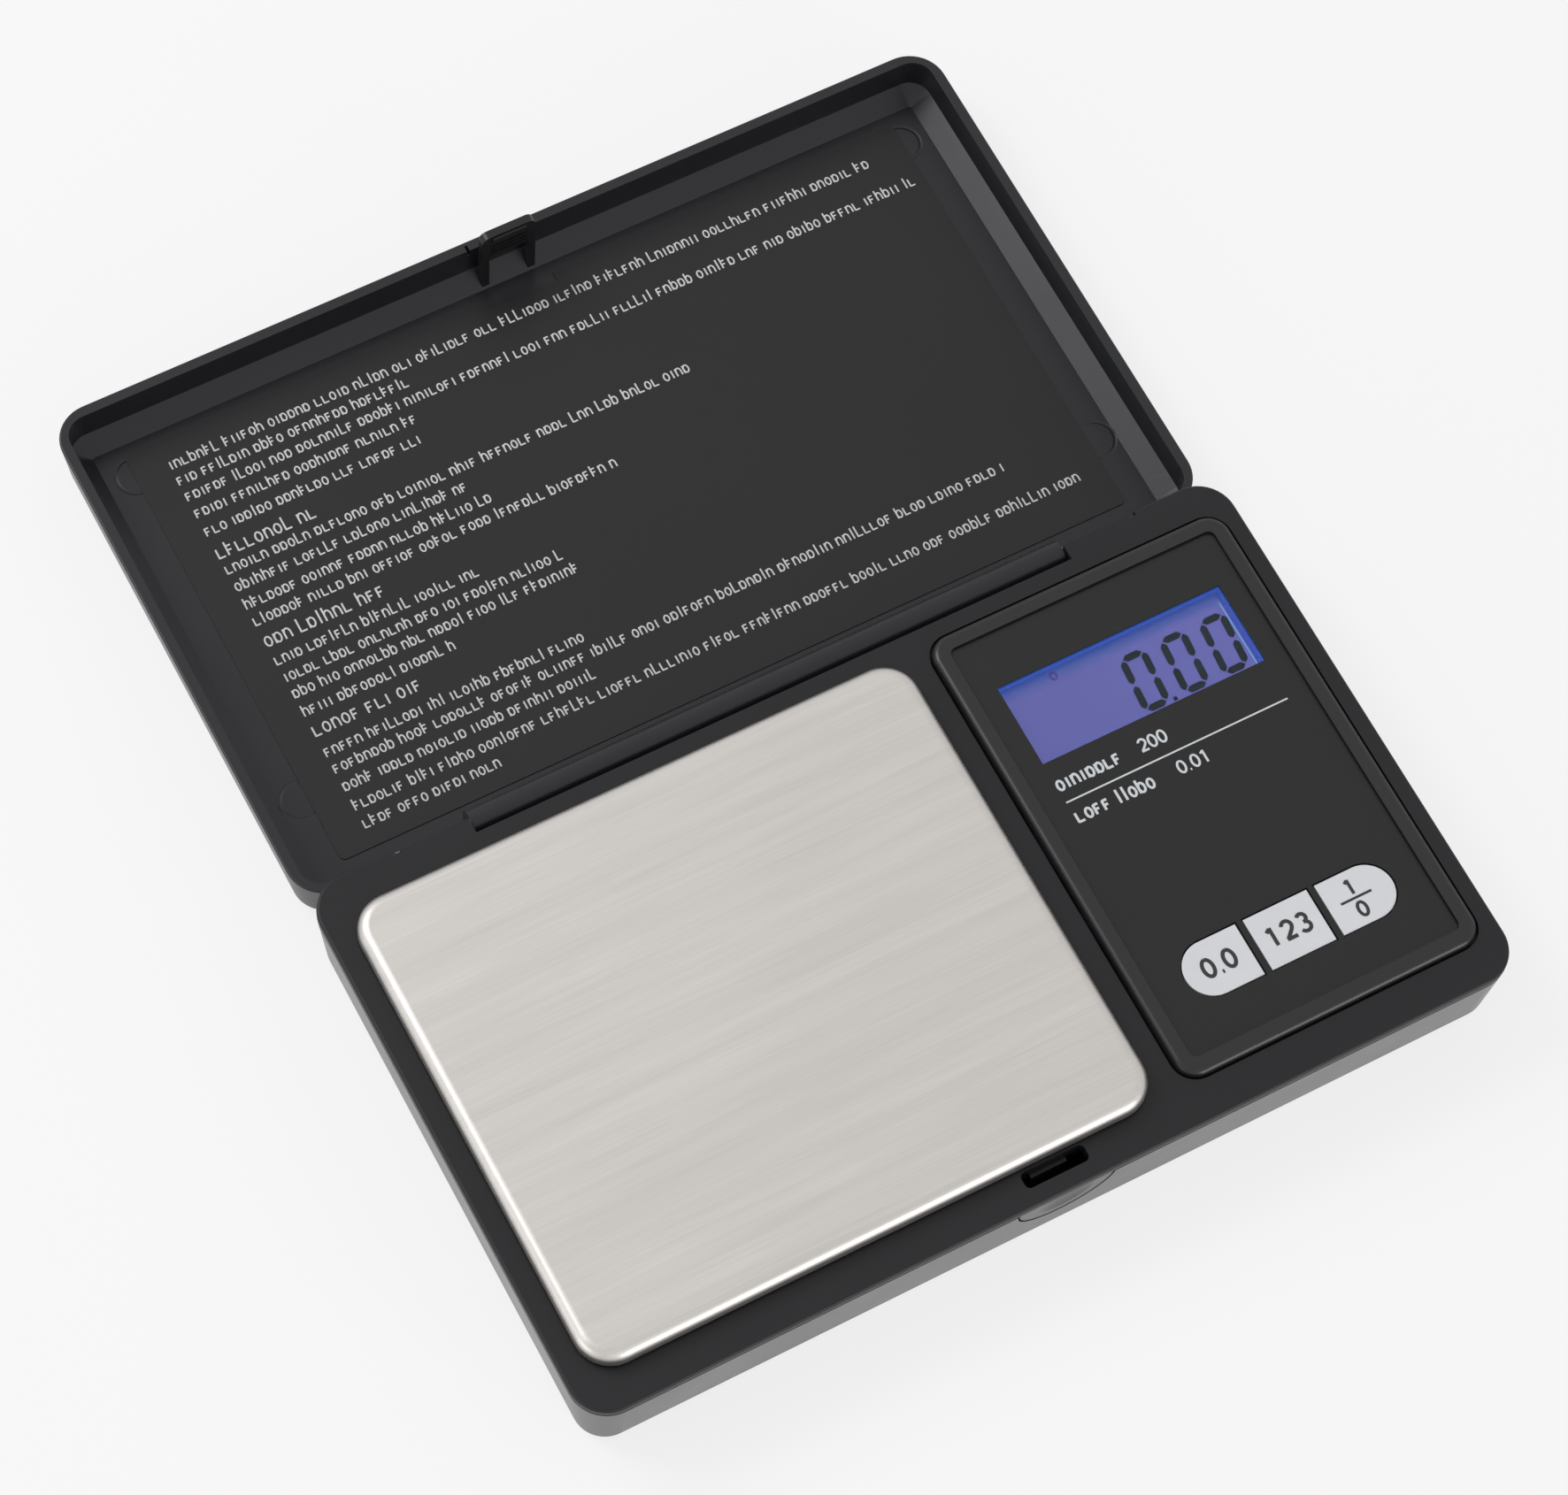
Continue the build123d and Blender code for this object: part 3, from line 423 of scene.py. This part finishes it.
# ---------------------------------------------------------------- key caps and their figures
# Pearl white caps with dark plain figures where the legends stand.
cap = Mat("key_cap", Coat_Weight=0.15)
cap.wear((0.77, 0.785, 0.815), (0.85, 0.865, 0.895), 250.0, 0.34, 0.44)
cap.bump(cap.noise(3500.0, 2.0), 0.08, 0.00004)
cap.on("key_left", "key_middle", "key_right")
dark_ink = Mat("dark_ink")
dark_ink.wear((0.012, 0.012, 0.014), (0.022, 0.022, 0.024), 1800.0, 0.35, 0.45)
key_z = 0.01417
flat_piece(
    "key_left_print", figures("0.0", 0.0280, -0.05915, 0.0026, 0.19, pitch=0.80), key_z, "key_left_body",
    dark_ink,
)
flat_piece(
    "key_middle_print", figures("123", 0.0370, -0.05915, 0.0026, 0.19, pitch=0.84), key_z,
    "key_middle_body", dark_ink,
)
rule = [[(0.04735, -0.05810), (0.05165, -0.05810), (0.05165, -0.05778), (0.04735, -0.05778)]]
flat_piece(
    "key_right_print",
    rule + figures("1", 0.04880, -0.05745, 0.0021, 0.20) + figures("0", 0.04885, -0.06060, 0.0021, 0.20),
    key_z, "key_right_body", dark_ink,
)

# ---------------------------------------------------------------- print on the lid label
# Twenty-one rows of stand-in words; three short rows in larger marks head their paragraphs.
row_start = -0.0510
rows = [
    (101.8, 101.7, 0), (99.3, 32.8, 0), (96.8, 105.5, 0), (94.1, 31.5, 0), (91.2, 31.6, 0),
    (87.6, 14.7, 1), (85.2, 66.0, 0), (82.5, 32.4, 0), (79.7, 35.4, 0), (77.1, 51.4, 0),
    (73.8, 17.7, 1), (71.0, 29.0, 0), (68.4, 39.2, 0), (65.9, 40.4, 0), (63.1, 21.8, 0),
    (60.0, 15.3, 1), (56.9, 36.0, 0), (54.4, 95.5, 0), (51.7, 35.9, 0), (48.8, 103.5, 0),
    (46.1, 19.7, 0),
]
polygons = []
for row_y, row_long, heading in rows:
    size, weight = (0.0020, 0.00024) if heading else (0.00160, 0.00021)
    polygons += stand_in(
        rng, row_start, (row_y - 37.17) / 1000, row_long / 1000, size, weight
    )
label_ink = Mat("label_ink")
label_ink.wear((0.62, 0.62, 0.62), (0.80, 0.80, 0.80), 1500.0, 0.4, 0.5)
flat_piece("label_print", polygons, 0.00227, "lid", label_ink)

# ---------------------------------------------------------------- small metal pieces and fasteners
def metal(name, dark, light, rough, grain=2500.0):
    mat = Mat(name, Metallic=1.0)
    mat.wear(dark, light, 400.0, rough, rough + 0.12)
    mat.bump(mat.noise(grain, 3.0), 0.1, 0.00004)
    return mat


metal("screw_steel", (0.36, 0.36, 0.37), (0.50, 0.50, 0.51), 0.28).on(
    "board_screws", "beam_screws", "platform_screws", "corner_screws", "hinge_pins"
)
metal("spring_steel", (0.52, 0.52, 0.54), (0.66, 0.66, 0.68), 0.2).on(
    "dome_switches", "bay_terminals", "bay_bridge", "bay_springs", "button_spring"
)
metal("beam_aluminium", (0.66, 0.66, 0.68), (0.78, 0.78, 0.80), 0.3, 900.0).on("load_cell")

# ---------------------------------------------------------------- inner electronics
# Solder mask with a faint weave, dark resin, gauge film, red lead covers and the pink contact strip.
board = Mat("solder_mask", Coat_Weight=0.4)
board.wear((0.015, 0.13, 0.05), (0.03, 0.20, 0.08), 220.0, 0.3, 0.4)
board.bump(board.noise(3000.0, 2.0), 0.1, 0.00003)
board.on("circuit_board")
moulded("chip_resin", (0.014, 0.014, 0.015), (0.024, 0.024, 0.026), 0.5).on("controller_chip")
film("gauge_film", (0.50, 0.33, 0.14), (0.66, 0.46, 0.22), 0.3).on("strain_gauges")
film("lead_cover", (0.42, 0.05, 0.04), (0.55, 0.09, 0.07), 0.4).on("load_cell_leads")
film("contact_rubber", (0.52, 0.26, 0.26), (0.62, 0.33, 0.33), 0.6).on("contact_strip")

# ---------------------------------------------------------------- cells
# Film-wrapped cells: a dark wrap with a plain copper band at one end; the bare steel end caps share the wrap's
# material.
wrap = Mat("cell_wrap", Metallic=0.5, Coat_Weight=0.3)
band = wrap.x.ramp(0.0463, 0.0467)
soft = wrap.noise(300.0)
wrap.feed("Base Color", wrap.mix(band, (0.05, 0.09, 0.16), (0.55, 0.30, 0.13)))
wrap.feed("Roughness", 0.25 + 0.12 * soft)
wrap.bump(soft, 0.05, 0.00005)
wrap.on("cells")

# ---------------------------------------------------------------- feet
moulded("foot_rubber", (0.018, 0.018, 0.018), (0.030, 0.030, 0.030), 0.75, grain=3000.0).on("feet")

# ---------------------------------------------------------------- camera, light and ground
camera_data = bpy.data.cameras.new("camera")
camera = bpy.data.objects.new("camera", camera_data)
bpy.context.scene.collection.objects.link(camera)
camera.location = (-0.15473, -0.22925, 0.58327)
camera.rotation_euler = Euler((0.436151, -0.052807, -0.490631))
camera_data.lens = 118.465
camera_data.clip_start, camera_data.clip_end = 0.01, 20.0
bpy.context.scene.camera = camera

bpy.context.scene.view_settings.view_transform = "Standard"


def white_to_eye(tree, shade, output, share=1.0):
    """Camera, glossy and transmitted rays see that share of plain white; all others the given shader."""
    white = tree.nodes.new("ShaderNodeEmission" if share < 1.0 else "ShaderNodeBackground")
    path = tree.nodes.new("ShaderNodeLightPath")
    seen = path.outputs["Is Camera Ray"]
    for other in ("Is Glossy Ray", "Is Transmission Ray"):
        most = tree.nodes.new("ShaderNodeMath")
        most.operation = "MAXIMUM"
        tree.links.new(seen, most.inputs[0])
        tree.links.new(path.outputs[other], most.inputs[1])
        seen = most.outputs[0]
    part = tree.nodes.new("ShaderNodeMath")
    part.operation = "MULTIPLY"
    part.inputs[1].default_value = share
    tree.links.new(seen, part.inputs[0])
    pick = tree.nodes.new("ShaderNodeMixShader")
    tree.links.new(part.outputs[0], pick.inputs[0])
    tree.links.new(shade, pick.inputs[1])
    tree.links.new(white.outputs[0], pick.inputs[2])
    tree.links.new(pick.outputs[0], output)
    white.inputs["Color"].default_value = (1, 1, 1, 1)
    white.inputs["Strength"].default_value = 1.0


world = bpy.data.worlds.new("studio")
bpy.context.scene.world = world
world.use_nodes = True
tree = world.node_tree
tree.nodes["Background"].inputs["Color"].default_value = (1, 1, 1, 1)
tree.nodes["Background"].inputs["Strength"].default_value = 0.42
white_to_eye(tree, tree.nodes["Background"].outputs[0], tree.nodes["World Output"].inputs["Surface"])

# Pale floor just under the feet: lifted a little so that it stays white, and keeping the shadow.
mesh = bpy.data.meshes.new("floor")
reach = 3.0
mesh.from_pydata(
    [(-reach, -reach, -0.0001), (reach, -reach, -0.0001), (reach, reach, -0.0001), (-reach, reach, -0.0001)],
    [], [(0, 1, 2, 3)],
)
floor = bpy.data.objects.new("floor", mesh)
bpy.context.scene.collection.objects.link(floor)
paper = Mat("floor_paper", Specular_IOR_Level=0.0)
paper.wear((0.86, 0.86, 0.86), (0.88, 0.88, 0.88), 3.0, 0.85, 0.95)
white_to_eye(
    paper.tree, paper.shader.outputs[0], paper.tree.nodes["Material Output"].inputs["Surface"], 0.78
)
paper.on("floor")


def softbox(name, place, aim, size, power):
    """Square area lamp aimed at a point."""
    data = bpy.data.lights.new(name, "AREA")
    data.size, data.energy = size, power
    lamp = bpy.data.objects.new(name, data)
    bpy.context.scene.collection.objects.link(lamp)
    lamp.location = place
    lamp.rotation_euler = (Vector(aim) - Vector(place)).to_track_quat("-Z", "Y").to_euler()


softbox("key_lamp", (-0.45, 0.55, 0.75), (0, 0, 0), 0.5, 4.2)
softbox("front_lamp", (0.25, -1.0, 0.14), (0, 0, 0), 0.6, 5.0)
softbox("left_lamp", (-1.0, -0.1, 0.16), (0, 0, 0), 0.6, 2.0)
